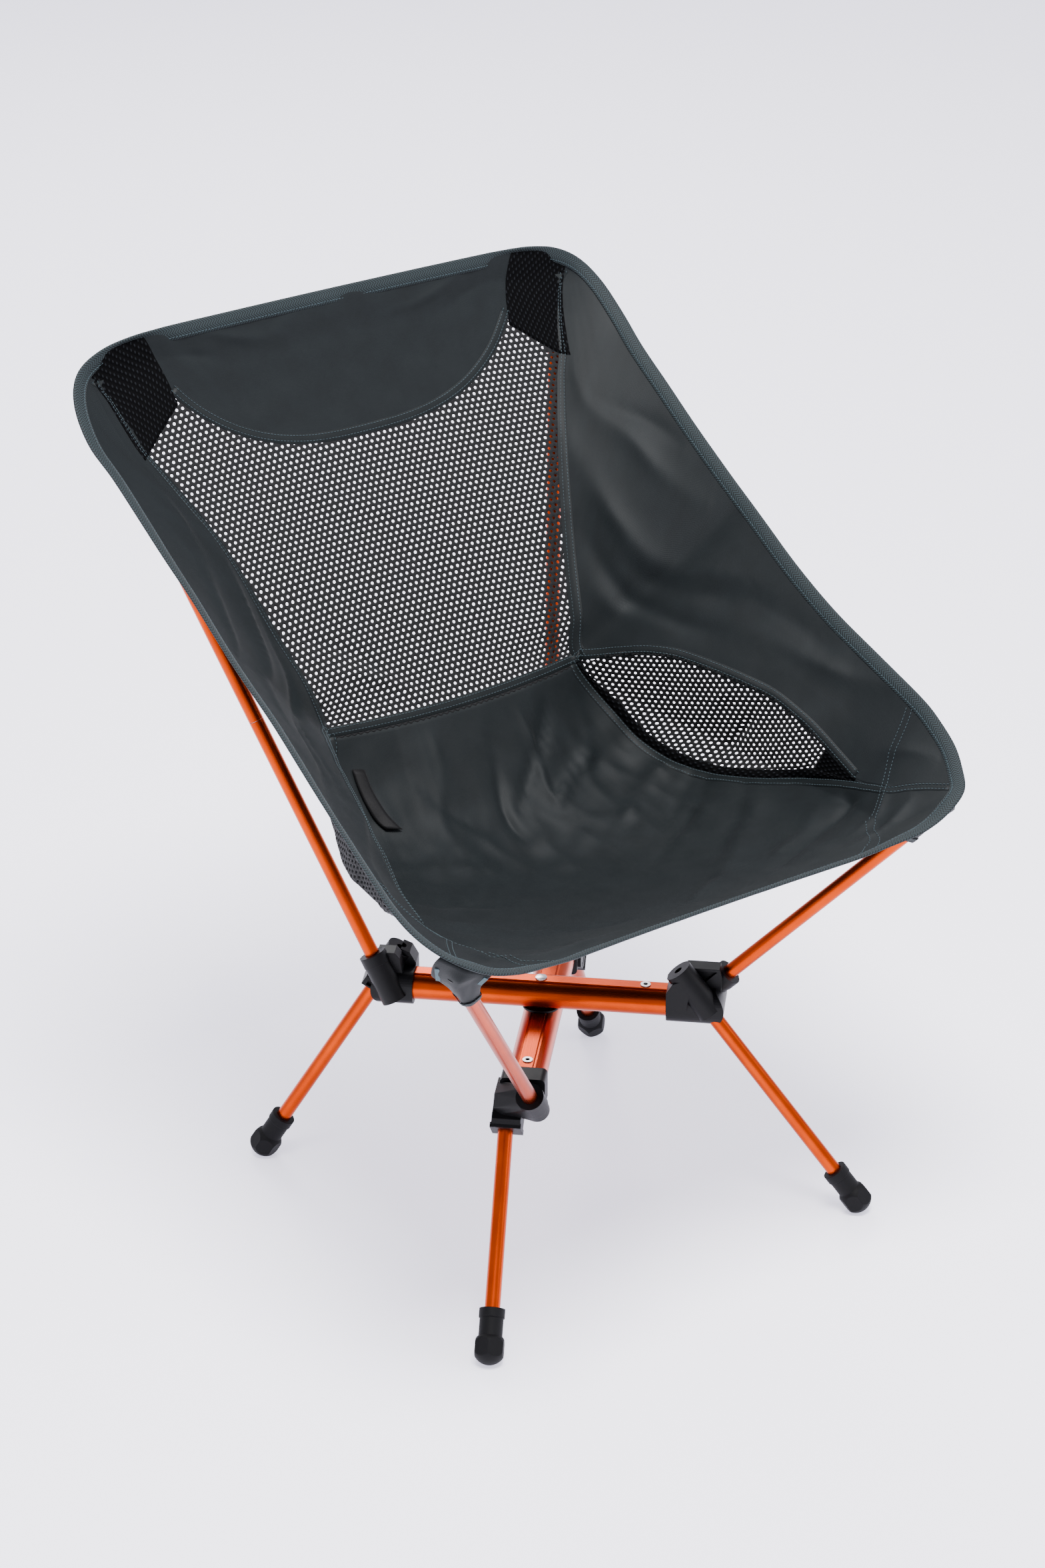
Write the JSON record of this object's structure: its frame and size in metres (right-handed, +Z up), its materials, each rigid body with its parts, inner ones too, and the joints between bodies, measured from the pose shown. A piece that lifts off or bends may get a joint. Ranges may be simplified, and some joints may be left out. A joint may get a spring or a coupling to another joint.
{
  "type": "folding camp chair",
  "caption": "Ultralight folding camp chair with a scissoring beam base, shock-corded pole legs and a bucket sling of fabric and mesh.",
  "frame": {"origin": "on the floor, under the middle of the chair's bounding box", "axes": "+Z up, -Y towards the way the sitter faces, +X towards the right seen from the front"},
  "size_m": [0.5126, 0.5397, 0.6841],
  "materials": {
    "anodised_beam": "satin anodised",
    "anodised_tube": "satin anodised",
    "ferrule": "drawn",
    "rivet_steel": "tumbled",
    "moulded_hub": "fine moulded grain",
    "foot_rubber": "matt",
    "shock_cord": "braided",
    "ripstop_fabric": "fine woven",
    "open_mesh": "knitted open mesh",
    "fine_mesh": "knitted spacer mesh",
    "binding_tape": "herringbone twill tape",
    "label_tag": "woven label"
  },
  "bodies": {
    "frame": {"upper_beam": "anodised_beam", "pivot_rivet": "rivet_steel", "pivot_spacer": "moulded_hub", "upper_end_rivets": "rivet_steel", "hub_front_right": "moulded_hub", "hub_rear_left": "moulded_hub", "pole_front_right": "anodised_tube", "pole_rear_left_lower": "anodised_tube", "pole_rear_left_upper": "anodised_tube", "ferrule_rear_left": "ferrule", "tip_front_right": "moulded_hub", "tip_rear_left": "moulded_hub", "pole_cord_front_right": "shock_cord", "pole_cord_rear_left": "shock_cord"},
    "lower_half": {"lower_beam": "anodised_beam", "lower_end_rivets": "rivet_steel", "hub_front_left": "moulded_hub", "hub_rear_right": "moulded_hub", "pole_front_left": "anodised_tube", "pole_rear_right_lower": "anodised_tube", "pole_rear_right_upper": "anodised_tube", "ferrule_rear_right": "ferrule", "tip_front_left": "moulded_hub", "tip_rear_right": "moulded_hub", "pole_cord_front_left": "shock_cord", "pole_cord_rear_right": "shock_cord"},
    "leg_front_right": {"leg_front_right": "anodised_tube", "foot_front_right": "foot_rubber", "leg_cord_front_right": "shock_cord"},
    "leg_rear_left": {"leg_rear_left": "anodised_tube", "foot_rear_left": "foot_rubber", "leg_cord_rear_left": "shock_cord"},
    "leg_front_left": {"leg_front_left": "anodised_tube", "foot_front_left": "foot_rubber", "leg_cord_front_left": "shock_cord"},
    "leg_rear_right": {"leg_rear_right": "anodised_tube", "foot_rear_right": "foot_rubber", "leg_cord_rear_right": "shock_cord"},
    "sling": {"seat_panel": "ripstop_fabric", "back_mesh": "open_mesh", "top_panel": "ripstop_fabric", "side_panel_left": "ripstop_fabric", "side_panel_right": "ripstop_fabric", "side_mesh_left": "fine_mesh", "side_mesh_right": "fine_mesh", "corner_mesh_left": "fine_mesh", "corner_mesh_right": "fine_mesh", "rear_pocket_left": "ripstop_fabric", "rear_pocket_right": "ripstop_fabric", "front_pocket_left": "ripstop_fabric", "front_pocket_right": "ripstop_fabric", "binding_tape": "binding_tape", "label_tag": "label_tag"}
  },
  "joints": [
    {"name": "base_scissor", "type": "hinge", "parent": "frame", "child": "lower_half", "pos_m": [0, -0.031, 0.15], "axis": [0, 0, 1], "range_deg": [0, 60], "deforming": ["seat_panel", "back_mesh", "top_panel", "side_panel_left", "side_panel_right", "side_mesh_left", "side_mesh_right", "corner_mesh_left", "corner_mesh_right", "rear_pocket_left", "rear_pocket_right", "front_pocket_left", "front_pocket_right", "binding_tape", "label_tag"]},
    {"name": "leg_pull_front_right", "type": "slide", "parent": "frame", "child": "leg_front_right", "axis": [0.4242, -0.4308, -0.7965], "range_m": [0, 0.03], "stiffness_N_per_m": 150, "springref_m": -0.05},
    {"name": "leg_pull_rear_left", "type": "slide", "parent": "frame", "child": "leg_rear_left", "axis": [-0.4037, 0.3286, -0.8539], "range_m": [0, 0.03], "stiffness_N_per_m": 150, "springref_m": -0.05},
    {"name": "leg_pull_front_left", "type": "slide", "parent": "lower_half", "child": "leg_front_left", "axis": [-0.4627, -0.5368, -0.7055], "range_m": [0, 0.03], "stiffness_N_per_m": 150, "springref_m": -0.05},
    {"name": "leg_pull_rear_right", "type": "slide", "parent": "lower_half", "child": "leg_rear_right", "axis": [0.4492, 0.4353, -0.7802], "range_m": [0, 0.03], "stiffness_N_per_m": 150, "springref_m": -0.05},
    {"name": "sling_lift", "type": "slide", "parent": "frame", "child": "sling", "axis": [0, 0, 1], "range_m": [0, 0.4], "deforming": ["seat_panel", "back_mesh", "top_panel", "side_panel_left", "side_panel_right", "side_mesh_left", "side_mesh_right", "corner_mesh_left", "corner_mesh_right", "rear_pocket_left", "rear_pocket_right", "front_pocket_left", "front_pocket_right", "binding_tape", "label_tag"]}
  ]
}
